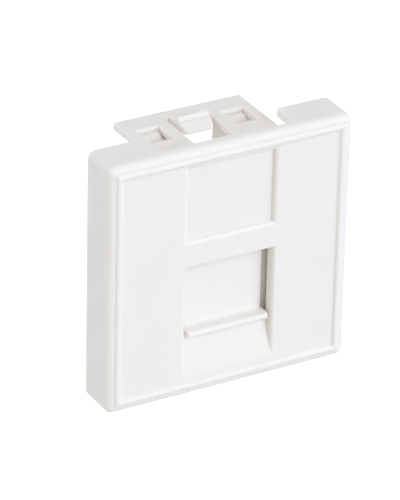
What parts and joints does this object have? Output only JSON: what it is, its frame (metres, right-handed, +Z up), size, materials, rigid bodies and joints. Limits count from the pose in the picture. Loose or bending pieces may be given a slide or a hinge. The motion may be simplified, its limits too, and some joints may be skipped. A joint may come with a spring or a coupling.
{
  "type": "keystone insert plate",
  "caption": "Square snap-in face plate that carries a network jack behind a sliding dust shutter, with a label recess above and latch tabs behind.",
  "frame": {"origin": "centre of the square plate, in the plane of the rim's back edge that seats on the support frame", "axes": "+X right seen from the front, +Y back into the wall box, +Z up"},
  "size_m": [0.045, 0.0194, 0.045],
  "materials": {
    "plate_plastic": "satin white moulding",
    "shutter_plastic": "satin white moulding",
    "carrier_plastic": "matt white moulding"
  },
  "bodies": {
    "plate": {"front_plate": "plate_plastic", "jack_carrier": "carrier_plastic"},
    "shutter": {"dust_shutter": "shutter_plastic"}
  },
  "joints": [
    {"name": "shutter_slide", "type": "slide", "parent": "plate", "child": "shutter", "axis": [0, 0, 1], "range_m": [0, 0.0119]}
  ]
}
